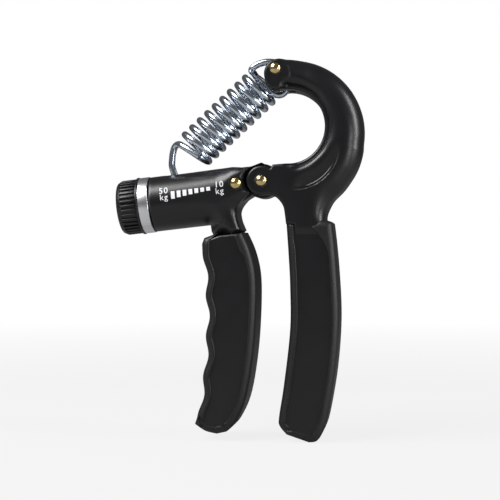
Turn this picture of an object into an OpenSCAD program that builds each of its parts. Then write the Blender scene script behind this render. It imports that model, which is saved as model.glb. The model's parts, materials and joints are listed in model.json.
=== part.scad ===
// Hand grip strengthener with an adjustable extension spring.
// The frame is upright: +X to the right, +Z up, and the part is built about Y = 0.
// Outlines are drawn in X and Z from the main pivot, then moved so that the
// origin is under the middle of the whole part.

/* [Body] */
// Depth of the arm and of both handles along Y
body_d = 24; // [22:1:29]
// Rounding of the long moulded edges
edge_r = 3; // [1.5:0.5:3.5]
// Radius of the arm's outer arc
arm_r = 32; // [30:1:36]
// Radius of the round opening inside the arm
eye_r = 16.3; // [14:0.1:18]
// Length of both handles below the pivot
handle_l = 114; // [95:1:135]

/* [Grips] */
// Width of the soft band around each handle
band_w = 3.5; // [2.5:0.1:4.5]
// How far the flat side panels lie under the band
panel_sink = 0.6; // [0.4:0.1:1.5]
// Depth of the finger grooves
groove_d = 1.6; // [0:0.1:2.5]
// Distance between the finger grooves
groove_pitch = 17.5; // [15:0.5:18]

/* [Pivot] */
// Shank radius of the main pivot rivet
pivot_r = 2; // [1.5:0.1:2.5]
// Radius of the round ears on the arm
ear_r = 6.5; // [6:0.1:7.5]
// Radius of the lever's tongue around the pivot
tongue_r = 7.6; // [7:0.1:9]
// Width of the lever's tongue between the ears
tongue_w = 12; // [8:0.5:14]
// Wall of the pivot bush
bush_wall = 1; // [0.6:0.1:1.5]
// Radius of the domed rivet heads
head_r = 2.5; // [2.2:0.1:3.2]
// Height of the domed rivet heads
head_h = 1.2; // [0.8:0.1:1.8]

/* [Barrel] */
// Outer radius of the barrel
barrel_r = 12.25; // [11.5:0.25:14.5]
// Radius of the bore inside the barrel
barrel_bore = 9.2; // [8.9:0.1:9.6]
// Tilt of the barrel above the horizontal
barrel_tilt = 6.5; // [3:0.5:8]
// Width of the slot on top of the barrel
slot_w = 5; // [4:0.25:6]
// Height of the slider's pin above the screw
pin_up = 6.9; // [6.5:0.1:7]
// Slider travel from the hard end to the easy end
travel = 14; // [10:0.5:14.5]

/* [Knob] */
// Radius of the knob over its ribs
knob_r = 12.25; // [11:0.25:13]
// Length of the knob
knob_l = 9; // [6.5:0.25:12]
// Number of ribs around the knob
ribs = 36; // [24:1:44]
// Thickness of the flange under the knob
flange_t = 0.9; // [0.6:0.1:1.5]
// Width of the bright end ring
ring_w = 4.6; // [3:0.1:6]
// Radius of the adjusting screw
screw_r = 2.5; // [2:0.1:2.6]

/* [Spring] */
// Wire diameter
wire = 3; // [2:0.1:3.2]
// Outer diameter of the coil
coil_d = 19.2; // [16:0.1:20]
// Number of turns
turns = 10; // [8:1:12]
// Length of the coil
coil_l = 44.5; // [38:0.5:46]

/* [Fits] */
// Radial clearance of running fits
run = 0.06; // [0.03:0.01:0.1]
// Clearance between pieces that don't move on each other
snug = 0.02; // [0.01:0.01:0.05]
// Clearance between moving bodies
gap = 0.35; // [0.3:0.05:0.5]

/* [Hidden] */
$fn = 64;

pivot = [0, 0];
eye = [11.3, 23.7];                      // centre of the round opening in the arm
arc_c = [12.6, 21.1];                    // centre of the arm's outer arc
spring_pin = [6.2, 48.8];                // pin at the arm's tip
arm_low = [[27.9, -17.2], [28.1, -15.2], [29.1, -12.6], [31.3, -8.9], [35.5, -4.7],
    [38.8, -0.2], [41.4, 4.2], [43.1, 8.7], [44.1, 13]];    // outer edge from the neck to the arc
barrel_end = [-50.1, -9.9];              // centre of the barrel's open end
rivet_at = [-11.2, -1.1];                // rivet through the barrel's closed end
rivet_r = 1.2;
tip_pin_r = 1.6;
slider_l = 7;
slider_at = 13.5;                         // slider's place at the hard end
bore_l = 36.5;
block_l = bore_l - (slider_at + travel + slider_l / 2) - 0.5;
slot_from = 7;
slot_to = slider_at + travel + 3;
ring_r = barrel_r + 0.25;
flange_r = knob_r + 0.5;
spigot_l = 3;
low = handle_l;                          // depth of the palm handle's end under the pivot

// Middle of the whole part in X, and its lowest point in Z
knob_end = ring_w + gap / 2 + flange_t + knob_l;
left_x = barrel_end[0] - knob_end * cos(barrel_tilt) - (knob_r - 1.6) * sin(barrel_tilt);
right_x = arc_c[0] + arm_r;
origin = [(left_x + right_x) / 2, -low];

// ---- Outline helpers ----
function arc(c, r, a0, a1, n = 24) =
    [for (i = [0:n]) let (a = a0 + (a1 - a0) * i / n) c + r * [cos(a), sin(a)]];
function knot(p, i) = p[max(0, min(len(p) - 1, i))];
function curve(p, n = 6) = concat([for (i = [0:len(p) - 2], k = [0:n - 1])
    let (t = k / n, a = knot(p, i - 1), b = p[i], c = p[i + 1], d = knot(p, i + 2))
    0.5 * (2 * b + (c - a) * t + (2 * a - 5 * b + 4 * c - d) * t * t
    + (3 * b - a - 3 * c + d) * t * t * t)], [p[len(p) - 1]]);
// Handles keep their shape but reach further when they are made longer
function reach(p) = [for (q = p) [q[0], q[1] > -40 ? q[1] : -40 + (q[1] + 40) * (low - 40) / 74]];

module slab(d) rotate([90, 0, 0]) linear_extrude(d, center = true) children();
module soft_slab(d, r) for (a = [0, 45, 90])
    slab(d - 2 * r * (1 - sin(a))) offset(delta = -r * (1 - cos(a))) children();
module whole() translate([-origin[0], 0, -origin[1]]) children();
module at(p) translate([p[0], 0, p[1]]) children();
module across(r, l) rotate([90, 0, 0]) cylinder(r = r, h = l, center = true);
// Along the barrel: local Z runs from the open end towards the pivot, local X is up
module along() at(barrel_end) rotate([0, 90 - barrel_tilt, 0]) rotate([0, 0, 180]) children();
module rivet(r, l) {
    across(r, l + 0.02);
    for (s = [-1, 1]) translate([0, s * l / 2, 0]) rotate([-90 * s, 0, 0]) rotate_extrude()
        intersection() {
            translate([0, head_h - dome_r(head_r, head_h)]) circle(dome_r(head_r, head_h));
            square([head_r, head_h]);
        }
}
function dome_r(r, h) = (r * r + h * h) / (2 * h);

// ---- Outlines ----
palm_inner = reach([[10.9, -19], [11.8, -32], [12.5, -46], [12.5, -65], [9.8, -89],
    [7.65, -103], [7.9, -107], [11, -110.8]]);
palm_outer = reach([[20.7, -114], [24.2, -113.3], [27, -109], [29.3, -101.3], [32.5, -82],
    [34, -60], [33, -38], [31.3, -21], [30.4, -18.2], [27.5, -17.2], [24.5, -17.2], [19, -19]]);
palm_line = concat(curve(palm_inner), curve(palm_outer));
arch = [[0, -ear_r], [3.9, -6.3], [6.6, -7.4], [8.7, -9.6], [10, -12.4], [10.9, -19]];
nose = [[10.7, 53.1], [6.9, 53], [3.2, 51.4], [1.3, 47.5], [2, 43], [4.6, 39.4], [7, 38.7]];
neck_l = 10.9 + band_w;                  // the neck runs down inside the band
neck_line = [[neck_l, -19.4], [neck_l, -28], [25.5, -28], [25.5, -16.9]];
arm_line = concat(
    curve(nose), arc(eye, eye_r, 102, -90, 40), [[5, 6.9], [3.9, 5.2], [0, 0]],
    curve(arch), neck_line, curve(arm_low, 4), arc(arc_c, arm_r, -8, 96, 30));
lever_arch = [[-3.5, 0], [-5.3, -5.4], [-9, -9], [-11, -12.6], [-10.6, -17], [-8.8, -21.5]];
lever_inner = reach([[-8.8, -21.5], [-4.6, -31], [-2.2, -43], [-2.4, -62], [-4, -80],
    [-7, -96], [-11.6, -106], [-15.5, -110]]);
lever_low = reach([[-19.8, -111], [-25, -109.8], [-29.6, -106.8]]);
groove_top = -33;
function lever_x(z) = -24.6 - 5.2 * pow((z + 60) / 50, 2);
groove_end = max(groove_top - 4 * groove_pitch, -(low - 10));
lever_outer = [for (i = [0:56]) let (z = -(low - 10) + i * (low - 42) / 56,
    w = z < groove_top && z > groove_end ? 1 : 0)
    [lever_x(z) + w * groove_d * (1 - cos((z - groove_top) / groove_pitch * 360)) / 2, z]];
finger_line = concat(curve(lever_inner), curve(lever_low), lever_outer,
    [[-26.6, -27], [-25.4, -25], [-19, -22.6]]);
root_line = [[-12.6, -10], [-22.6, -10], [-22.6, -34], [-9.2, -34], [-11.9, -22.2]];

// ---- Arm ----
module arm_frame() color([0.05, 0.05, 0.055]) whole() difference() {
    union() {
        soft_slab(body_d, edge_r) polygon(arm_line);
        across(ear_r, body_d);
        slab(body_d - 2 * panel_sink) offset(delta = -band_w) polygon(palm_line);
    }
    across(tongue_r + gap + 0.15, tongue_w + 2 * gap + 0.5);     // room for the tongue
    translate([-12, 0, 0]) cube([24, tongue_w + 2 * gap + 0.5, 2 * ear_r + 1], center = true);
    across(pivot_r, body_d + 2);
    at(spring_pin) across(tip_pin_r, body_d + 2);
    at(spring_pin + [-3, -3]) rotate([0, 45, 0])                // slot for the spring's loop
        cube([24, wire + 1.4, 23], center = true);
}
module palm_grip() color([0.03, 0.03, 0.033]) whole() difference() {
    soft_slab(body_d + 0.4, edge_r) polygon(palm_line);
    slab(body_d + 2) offset(delta = -band_w + snug) polygon(palm_line);
    slab(body_d + 2) offset(delta = snug) polygon(concat([[25.5, -10], [-5, -10], [-5, -19.4]],
        neck_line));
}
module pivot_rivet() color([0.72, 0.6, 0.34]) whole() rivet(pivot_r - snug, body_d);
module spring_rivet() color([0.72, 0.6, 0.34]) whole() at(spring_pin)
    rivet(tip_pin_r - snug, body_d);
module pivot_washers() color([0.75, 0.75, 0.77]) whole() for (s = [-1, 1])
    translate([0, s * (tongue_w / 2 + gap / 2 + 0.02), 0]) difference() {
        across(ear_r - 1, 0.3);
        across(pivot_r + run, 1);
    }

// ---- Lever ----
module tongue_line() {
    circle(tongue_r);
    polygon([[0, tongue_r], [-9, 5], [-20, 2], [-20, -16], [-11, -12.6], [-9, -9], [-4, -6.4]]);
}
module lever_frame() color([0.05, 0.05, 0.055]) whole() difference() {
    union() {
        difference() {
            union() {
                along() cylinder(r = barrel_r, h = 30);
                along() translate([0, 0, 29.99]) cylinder(r1 = barrel_r, r2 = barrel_r - 1.9, h = 15.5);
                soft_slab(body_d, edge_r) polygon(concat(curve(lever_arch, 4),
                    [[-12.4, -22.2], [-22.6, -22.2], [-23, -8], [-19, 4.6], [-8, 5.7], [-3.5, 6.8]]));
            }
            across(ear_r + gap + 0.15, body_d + 2);
            slab(body_d + 2) polygon(concat(curve(lever_arch, 4),
                [[-8.8, -40], [30, -40], [30, 20], [-3.5, 20]]));
        }
        slab(tongue_w) tongue_line();
        slab(body_d - 2 * panel_sink) offset(delta = -band_w) polygon(finger_line);
        slab(body_d - 2 * panel_sink) polygon(root_line);
    }
    across(pivot_r + bush_wall, body_d + 2);
    at(rivet_at) across(rivet_r, body_d + 4);
    along() translate([0, 0, -1]) cylinder(r = barrel_bore, h = bore_l + 1);
    along() translate([0, -slot_w / 2, slot_from]) cube([barrel_r + 4, slot_w, slot_to - slot_from]);
}
module finger_grip() color([0.03, 0.03, 0.033]) whole() difference() {
    soft_slab(body_d + 0.4, edge_r) polygon(finger_line);
    slab(body_d + 2) offset(delta = -band_w + snug) polygon(finger_line);
    slab(body_d + 2) offset(delta = snug) polygon(root_line);
    along() translate([0, 0, -1]) cylinder(r = barrel_r + snug, h = 60);
    slab(body_d + 2) polygon([[-30, -22.2 - snug], [20, -22.2 - snug], [20, 5], [-30, 5]]);
}
module pivot_bush() color([0.7, 0.68, 0.62]) whole() difference() {
    across(pivot_r + bush_wall - snug, tongue_w);
    across(pivot_r + run, tongue_w + 2);
}
module barrel_rivet() color([0.72, 0.6, 0.34]) whole() at(rivet_at)
    rivet(rivet_r - snug, body_d);
module end_ring() color([0.82, 0.83, 0.85]) whole() along() difference() {
    union() {
        translate([0, 0, -ring_w]) cylinder(r = ring_r, h = ring_w - snug);
        translate([0, 0, -1]) cylinder(r = barrel_bore - snug, h = spigot_l + 1);
    }
    translate([0, 0, -ring_w - 1]) cylinder(r = screw_r + run, h = ring_w + spigot_l + 2);
}
module bearing_block() color([0.6, 0.6, 0.62]) whole() along()
    translate([0, 0, bore_l - snug - block_l]) difference() {
        cylinder(r = barrel_bore - snug, h = block_l);
        translate([0, 0, -1]) cylinder(r = screw_r + run, h = block_l + 2);
    }
// Printed bars that hang from one line and grow towards the hard end
bars = 7;
bar_top = 4.15;
bar_w = 1.7;
bar_pitch = 2.65;
bar_from = 10.7;
bar_h = [for (i = [0:bars - 1]) 1.7 + 1.65 * pow((bars - 1 - i) / (bars - 1), 1.4)];
module scale_bars() color("white") whole() along() intersection() {
    difference() {
        cylinder(r = barrel_r + 0.12, h = 40);
        translate([0, 0, -1]) cylinder(r = barrel_r + snug / 2, h = 42);
    }
    union() for (i = [0:bars - 1])
        translate([bar_top - bar_h[i], barrel_r - 7, bar_from + i * bar_pitch])
            cube([bar_h[i], 8, bar_w]);
}

// ---- Knob and screw ----
module knob() color([0.045, 0.045, 0.05]) whole() along()
    translate([0, 0, -knob_end]) difference() {
        union() {
            cylinder(r1 = knob_r - 1.6, r2 = knob_r - 0.5, h = 1.2);
            translate([0, 0, 1.2]) cylinder(r = knob_r - 0.5, h = knob_l - 1.2);
            for (i = [0:ribs - 1]) rotate([0, 0, i * 360 / ribs])
                translate([knob_r - 0.85, -0.55, 1.7]) cube([0.85, 1.1, knob_l - 2]);
        }
        translate([0, 0, -1]) cylinder(r = screw_r + snug, h = knob_l + 2);
        translate([0, 0, -1]) cylinder(r = knob_r - 4, h = 3.2);
    }
module knob_flange() color([0.04, 0.04, 0.045]) whole() along()
    translate([0, 0, -ring_w - gap / 2 - flange_t + snug]) difference() {
        cylinder(r = flange_r, h = flange_t - snug);
        translate([0, 0, -1]) cylinder(r = screw_r + snug, h = flange_t + 2);
    }
module knob_cap() color([0.05, 0.05, 0.055]) whole() along()
    translate([0, 0, -knob_end + 0.4])
    cylinder(r = knob_r - 4 - snug, h = 1);
module knob_bolt() color([0.7, 0.7, 0.72]) whole() along()
    translate([0, 0, -knob_end + 1.45])
    cylinder(r = screw_r + 1.2, h = 0.7);
module screw() color([0.7, 0.7, 0.72]) whole() along() {
    z0 = -knob_end + 2.2;
    translate([0, 0, z0]) cylinder(r = screw_r, h = bore_l - 0.3 - z0);
}
module screw_clip() color([0.5, 0.5, 0.52]) whole() along()
    translate([0, 0, spigot_l + gap / 2]) difference() {
        cylinder(r = screw_r + 2, h = 0.8);
        translate([0, 0, -1]) cylinder(r = screw_r + snug, h = 3);
    }
module thrust_washer() color([0.85, 0.85, 0.87]) whole() along()
    translate([0, 0, -ring_w - 0.14]) difference() {
        cylinder(r = screw_r + 2.5, h = 0.12);
        translate([0, 0, -1]) cylinder(r = screw_r + run, h = 3);
    }

// ---- Slider ----
module slider() color([0.55, 0.55, 0.58]) whole() along()
    translate([0, 0, slider_at - slider_l / 2]) difference() {
        cylinder(r = barrel_bore - gap, h = slider_l);
        translate([0, 0, -1]) cylinder(r = screw_r + run, h = slider_l + 2);
        translate([0, -wire / 2 - 0.4, -1]) cube([barrel_r, wire + 0.8, slider_l + 2]);
        translate([pin_up, 0, slider_l / 2]) rotate([90, 0, 0])
            cylinder(r = 1.1, h = 30, center = true);
    }
module hook_pin() color([0.7, 0.7, 0.72]) whole() along()
    translate([pin_up, 0, slider_at]) rotate([90, 0, 0])
    cylinder(r = 1.1 - snug, h = 2 * sqrt(pow(barrel_bore - gap, 2) - pow(pin_up + 1.2, 2)), center = true);

// ---- Spring: right-handed coil, in a chain of short round links ----
slider_pin = barrel_end + slider_at * [cos(barrel_tilt), sin(barrel_tilt)]
    + pin_up * [-sin(barrel_tilt), cos(barrel_tilt)];
coil_top = [0, 43];
coil_dir = 42.5;
coil_r = (coil_d - wire) / 2;
u = [-cos(coil_dir), -sin(coil_dir)];    // down the coil
// Across the coil, up and left; the turns fan out a little down the coil
function fan(t) = let (a = coil_dir - 3 + (t - 0.75) * 1.15) [-sin(a), cos(a)];
function coil(t) = let (a = 360 * t, c = coil_top + coil_l * t / turns * u + coil_r * cos(a) * fan(t))
    [c[0], coil_r * sin(a), c[1]];
function lift(p) = [for (q = p) [q[0], 0, q[1]]];
function sweep_frame(p, i) = let (d = p[min(i + 1, len(p) - 1)] - p[max(i - 1, 0)],
    t = d / norm(d), s0 = cross(t, [0, 1, 0.02]), s = s0 / norm(s0)) [s, cross(s, t)];
module tube(p, r, n = 8) {
    pts = [for (i = [0:len(p) - 1]) let (f = sweep_frame(p, i)) for (k = [0:n - 1])
        p[i] + r * (cos(360 * k / n) * f[0] + sin(360 * k / n) * f[1])];
    m = len(p) - 1;
    polyhedron(pts, concat([[for (k = [0:n - 1]) k]],
        [for (i = [0:m - 1], k = [0:n - 1], h = [0, 1]) let (a = i * n + k, b = i * n + (k + 1) % n)
            h == 0 ? [a, a + n, b + n] : [a, b + n, b]],
        [[for (k = [n - 1:-1:0]) m * n + k]]), convexity = 8);
}
// The top loop runs over the pin and comes back beside the first turn
module spring_coil() color([0.8, 0.81, 0.83]) whole()
    tube(concat(curve([[-3.4, -1.4, 46.4], [-0.6, -0.6, 44.4], [3.4, -0.4, 40], [5, -0.2, 38.8],
        [6.9, 0, 38.4], [8.7, 0, 39.1], [10.2, 0, 41], [11, 0, 44.5], [10.6, 0, 48.5],
        [9.2, 0, 51.1], [6.6, 0, 52.4], [3.4, 0, 53.1], [0.6, 0, 53.1], [-2.6, 0, 52.2],
        [-4.8, 0.1, 50.9], [-5.7, 1, 49.6], coil(0.07)], 3), [for (i = [2:193]) coil(i / 20)]), wire / 2);
module spring_hook() color([0.8, 0.81, 0.83]) whole()
    tube(concat(lift(arc(slider_pin, 1.1 + wire / 2 + 0.15, 320, 180, 8)),
        curve([[-40.05, 0, 1], [-40.2, 0, 3.2], [-41, 0, 5.2], [-41.6, 0, 7.6], [-41.5, 0, 10.4],
        [-41.1, 0, 13.4], [-40.2, -0.2, 15.9], [-38.2, -1.7, 16.9], [-35, -4.7, 15.4],
        coil(9.675)], 3)), wire / 2);

arm_frame();
palm_grip();
pivot_rivet();
spring_rivet();
lever_frame();
finger_grip();
pivot_bush();
barrel_rivet();
end_ring();
bearing_block();
scale_bars();
knob();
knob_flange();
knob_cap();
knob_bolt();
screw();
screw_clip();
slider();
hook_pin();
pivot_washers();
thrust_washer();
spring_coil();
spring_hook();
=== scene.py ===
# %% [markdown]
# # Hand grip strengthener
# A squeeze trainer in the shape of the letter R. A curved arm and a palm handle are one moulding.
# A barrel and a finger handle are a second one, and they turn on a brass rivet. A coil spring pulls
# the barrel towards the arm's tip, and a ribbed knob on a screw moves the spring's lower end, which
# changes the load. We dress the CAD frame, so the shapes follow the sizes of that frame.

# %% Load the frame
import json
import math
import bmesh
import bpy
import numpy as np
from mathutils import Matrix, Vector
from mathutils.geometry import delaunay_2d_cdt


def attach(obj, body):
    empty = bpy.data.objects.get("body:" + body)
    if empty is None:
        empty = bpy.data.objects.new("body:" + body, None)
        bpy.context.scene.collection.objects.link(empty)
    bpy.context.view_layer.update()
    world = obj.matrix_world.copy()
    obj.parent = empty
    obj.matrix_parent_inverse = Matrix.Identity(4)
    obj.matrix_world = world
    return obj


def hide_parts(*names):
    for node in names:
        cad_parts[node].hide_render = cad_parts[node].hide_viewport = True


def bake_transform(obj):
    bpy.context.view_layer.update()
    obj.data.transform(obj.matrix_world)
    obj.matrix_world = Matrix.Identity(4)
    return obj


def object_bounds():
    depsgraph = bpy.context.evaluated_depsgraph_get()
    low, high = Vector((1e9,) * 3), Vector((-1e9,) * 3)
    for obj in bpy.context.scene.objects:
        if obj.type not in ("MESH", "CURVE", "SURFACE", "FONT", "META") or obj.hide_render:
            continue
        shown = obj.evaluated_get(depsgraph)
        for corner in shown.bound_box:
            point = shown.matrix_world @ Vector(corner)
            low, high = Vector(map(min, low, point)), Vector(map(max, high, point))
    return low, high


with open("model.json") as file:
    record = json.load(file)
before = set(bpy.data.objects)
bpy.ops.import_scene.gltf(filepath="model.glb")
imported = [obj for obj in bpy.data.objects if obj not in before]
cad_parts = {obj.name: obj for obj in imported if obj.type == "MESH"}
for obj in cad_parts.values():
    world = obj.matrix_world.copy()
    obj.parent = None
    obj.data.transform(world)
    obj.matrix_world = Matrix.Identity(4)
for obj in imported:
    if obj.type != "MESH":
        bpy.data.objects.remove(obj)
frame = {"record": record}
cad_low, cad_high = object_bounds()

MM = 0.001
joints = {j["name"]: j for j in frame["record"]["behaviour"]["joints"]}
pivot = Vector(joints["squeeze"]["pos_m"])
print("CAD box in mm:", [round(1000 * (b - a), 1) for a, b in zip(cad_low, cad_high)])

# %% [markdown]
# ## The camera
# A product view from a little to the right of square on, at the height of the middle of the object.
# A long lens keeps the two handles nearly parallel. The camera comes first, because every shape
# after it is judged through it.

# %% Camera
VIEW_TURN = math.radians(7.5)
VIEW_DISTANCE = 0.56
FRAME_WIDTH = 0.2225
SENSOR = 36.0
aim = pivot + Vector((-6.3, 0, -30.3)) * MM
camera_data = bpy.data.cameras.new("camera")
camera_data.sensor_width = SENSOR
camera_data.lens = SENSOR * VIEW_DISTANCE / FRAME_WIDTH
camera = bpy.data.objects.new("camera", camera_data)
bpy.context.scene.collection.objects.link(camera)
back = Vector((math.sin(VIEW_TURN), -math.cos(VIEW_TURN), 0.0))
camera.location = aim + back * VIEW_DISTANCE
camera.rotation_euler = (-back).to_track_quat("-Z", "Y").to_euler()
bpy.context.scene.camera = camera

# %% [markdown]
# ## Shader maths as Python
# A material is easier to read as a formula than as a web of nodes. The class wraps one socket, and
# its operators add Math nodes, so `(fine - 0.5) * 0.08` builds two nodes by itself.

# %% Socket class
class Sock:
    def __init__(self, tree, socket):
        self.tree, self.socket = tree, socket

    def node(self, kind, out=0, settings=None, **inputs):
        made = self.tree.nodes.new(kind)
        for key, value in (settings or {}).items():
            setattr(made, key, value)
        for key, value in inputs.items():
            place = made.inputs[int(key[1:])] if key[0] == "i" and key[1:].isdigit() else made.inputs[key]
            if isinstance(value, Sock):
                self.tree.links.new(value.socket, place)
            else:
                place.default_value = value
        return Sock(self.tree, made.outputs[out])

    def maths(self, operation, a, b=0.0):
        return self.node("ShaderNodeMath", settings={"operation": operation}, i0=a, i1=b)

    def __add__(self, other): return self.maths("ADD", self, other)
    def __sub__(self, other): return self.maths("SUBTRACT", self, other)
    def __mul__(self, other): return self.maths("MULTIPLY", self, other)

    def mix(self, low, high):
        """A colour between low and high, with this value as the factor."""
        return self.node("ShaderNodeMix", out=2, settings={"data_type": "RGBA"},
                         i0=self, i6=(*low, 1), i7=(*high, 1))

    def between(self, low, high):
        """A number that goes from low to high as this value goes from 0 to 1."""
        return self * (high - low) + low


def finish_named(name, colour, metallic=0.0, roughness=0.4, coat=0.0):
    """A new material: returns it, its shader node and a starting socket with Object coordinates."""
    material = bpy.data.materials.new(name)
    material.use_nodes = True
    tree = material.node_tree
    shader = tree.nodes["Principled BSDF"]
    shader.inputs["Base Color"].default_value = (*colour, 1)
    shader.inputs["Metallic"].default_value = metallic
    shader.inputs["Roughness"].default_value = roughness
    shader.inputs["Coat Weight"].default_value = coat
    place = tree.nodes.new("ShaderNodeTexCoord")
    return material, shader, Sock(tree, place.outputs["Object"])


def noise(place, scale, detail=2.0, rough=0.5):
    return place.node("ShaderNodeTexNoise", Vector=place, Scale=scale, Detail=detail, Roughness=rough)


def bump(place, height, shader, strength, distance):
    made = place.node("ShaderNodeBump", Strength=strength, Distance=distance, Height=height)
    place.tree.links.new(made.socket, shader.inputs["Normal"])


def feed(shader, name, value):
    value.tree.links.new(value.socket, shader.inputs[name])

# %% [markdown]
# ## Finishes
# The mouldings are black nylon from a spark-eroded mould: satin, with a very fine grain that only
# shows where light grazes it. The grips are a softer and duller black. The wire is zinc plated, the
# rivets are brass, and the ring is turned steel whose tool marks run around it.

# %% Moulded plastic and rubber
def moulded_black(name, colour, low_rough, high_rough, grain, depth):
    material, shader, place = finish_named(name, colour)
    cloud = noise(place, 90, 3)
    fine = noise(place, grain, 2)
    shade = cloud.mix([0.75 * c for c in colour], [1.35 * c for c in colour])
    feed(shader, "Base Color", shade)
    feed(shader, "Roughness", cloud.between(low_rough, high_rough) + (fine - 0.5) * 0.08)
    bump(place, fine, shader, depth, 0.00005)
    return material


frame_black = moulded_black("frame_black", (0.0062, 0.0063, 0.0070), 0.27, 0.37, 3800, 0.20)
grip_black = moulded_black("grip_black", (0.0060, 0.0060, 0.0064), 0.42, 0.54, 5200, 0.40)
knob_black = moulded_black("knob_black", (0.0070, 0.0070, 0.0076), 0.26, 0.38, 4200, 0.25)

# %% Metals
def plated(name, colour, low_rough, high_rough, spots=700, grain=0.05):
    material, shader, place = finish_named(name, colour, metallic=1.0)
    cloud = noise(place, spots, 3)
    feed(shader, "Base Color", cloud.mix([0.86 * c for c in colour], colour))
    feed(shader, "Roughness", cloud.between(low_rough, high_rough))
    if grain:
        bump(place, noise(place, 2 * spots, 2), shader, grain, 0.00003)
    return material


zinc_wire = plated("zinc_wire", (0.70, 0.76, 0.84), 0.20, 0.22, spots=60, grain=0.0)
brass = plated("brass", (0.80, 0.62, 0.28), 0.14, 0.24)
plain_steel = plated("plain_steel", (0.62, 0.62, 0.64), 0.22, 0.38)


def turned_steel(name, axis):
    """Bright steel with fine tool marks around the given axis."""
    material, shader, place = finish_named(name, (0.86, 0.87, 0.89), metallic=1.0)
    along = place.node("ShaderNodeVectorMath", out=1, settings={"operation": "DOT_PRODUCT"},
                       i0=place, i1=tuple(axis))
    marks = along.node("ShaderNodeTexNoise", settings={"noise_dimensions": "1D"}, W=along * 9000.0,
                       Scale=1.0, Detail=2.0)
    feed(shader, "Roughness", marks.between(0.22, 0.36))
    feed(shader, "Base Color", noise(place, 400).mix((0.80, 0.81, 0.83), (0.90, 0.91, 0.93)))
    bump(place, marks, shader, 0.18, 0.00002)
    return material


barrel_axis = Vector(joints["slider_travel"]["axis"])
ring_steel = turned_steel("ring_steel", barrel_axis)


def printed_white():
    material, shader, place = finish_named("print_white", (0.85, 0.86, 0.88), roughness=0.5)
    ink = noise(place, 2500, 2)
    feed(shader, "Base Color", ink.mix((0.74, 0.75, 0.78), (0.92, 0.93, 0.95)))
    feed(shader, "Roughness", ink.between(0.42, 0.6))
    return material


scale_ink = printed_white()

# %% [markdown]
# ## Geometry Nodes for what repeats
# Two small trees do all the repeating work. `sweep` turns a path into a round bar, for the spring
# and the screw's thread. `scatter` sets one shape on every point, for the knob's ribs, the rivet
# heads and the printed bars. Both end in Realize Instances and Set Material.

# %% Tree helpers
def new_tree(name, inputs):
    tree = bpy.data.node_groups.new(name, "GeometryNodeTree")
    tree.interface.new_socket("Geometry", in_out="INPUT", socket_type="NodeSocketGeometry")
    for label, kind in inputs:
        tree.interface.new_socket(label, in_out="INPUT", socket_type="NodeSocket" + kind)
    tree.interface.new_socket("Geometry", in_out="OUTPUT", socket_type="NodeSocketGeometry")
    return tree, tree.nodes.new("NodeGroupInput"), tree.nodes.new("NodeGroupOutput")


def close_tree(tree, start, end, geometry):
    real = tree.nodes.new("GeometryNodeRealizeInstances")
    paint = tree.nodes.new("GeometryNodeSetMaterial")
    tree.links.new(geometry, real.inputs[0])
    tree.links.new(real.outputs[0], paint.inputs["Geometry"])
    tree.links.new(start.outputs["Material"], paint.inputs["Material"])
    tree.links.new(paint.outputs[0], end.inputs[0])


def sweep_tree():
    tree, start, end = new_tree("sweep", [("Radius", "Float"), ("Sides", "Int"), ("Material", "Material")])
    circle = tree.nodes.new("GeometryNodeCurvePrimitiveCircle")
    sweep = tree.nodes.new("GeometryNodeCurveToMesh")
    tree.links.new(start.outputs["Radius"], circle.inputs["Radius"])
    tree.links.new(start.outputs["Sides"], circle.inputs["Resolution"])
    tree.links.new(start.outputs["Geometry"], sweep.inputs["Curve"])
    tree.links.new(circle.outputs[0], sweep.inputs["Profile Curve"])
    sweep.inputs["Fill Caps"].default_value = True
    close_tree(tree, start, end, sweep.outputs[0])
    return tree


def scatter_tree():
    tree, start, end = new_tree("scatter", [("Shape", "Object"), ("Material", "Material")])
    shape = tree.nodes.new("GeometryNodeObjectInfo")
    spread = tree.nodes.new("GeometryNodeInstanceOnPoints")
    tree.links.new(start.outputs["Shape"], shape.inputs["Object"])
    tree.links.new(start.outputs["Geometry"], spread.inputs["Points"])
    tree.links.new(shape.outputs["Geometry"], spread.inputs["Instance"])
    for label, socket in (("turn", "Rotation"), ("size", "Scale")):
        named = tree.nodes.new("GeometryNodeInputNamedAttribute")
        named.data_type = "FLOAT_VECTOR"
        named.inputs["Name"].default_value = label
        tree.links.new(named.outputs[0], spread.inputs[socket])
    close_tree(tree, start, end, spread.outputs[0])
    return tree


SWEEP, SCATTER = sweep_tree(), scatter_tree()


def run_tree(obj, tree, **values):
    """Evaluate the tree on obj and return the result as a plain mesh."""
    modifier = obj.modifiers.new("nodes", "NODES")
    modifier.node_group = tree
    for item in tree.interface.items_tree:
        if item.in_out == "INPUT" and item.name in values:
            modifier[item.identifier] = values[item.name]
    obj.update_tag()
    graph = bpy.context.evaluated_depsgraph_get()
    mesh = bpy.data.meshes.new_from_object(obj.evaluated_get(graph))
    obj.modifiers.remove(modifier)
    bpy.data.objects.remove(obj)
    return mesh


def swept(path, radius, material, sides=14):
    """A round bar along a list of points, in mm from the pivot."""
    line = bpy.data.curves.new("path", "CURVE")
    line.dimensions = "3D"
    spline = line.splines.new("POLY")
    spline.points.add(len(path) - 1)
    for point, place in zip(spline.points, path):
        point.co = (*place, 1)
    obj = bpy.data.objects.new("path", line)
    bpy.context.scene.collection.objects.link(obj)
    return run_tree(obj, SWEEP, Radius=radius, Sides=sides, Material=material)


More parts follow.
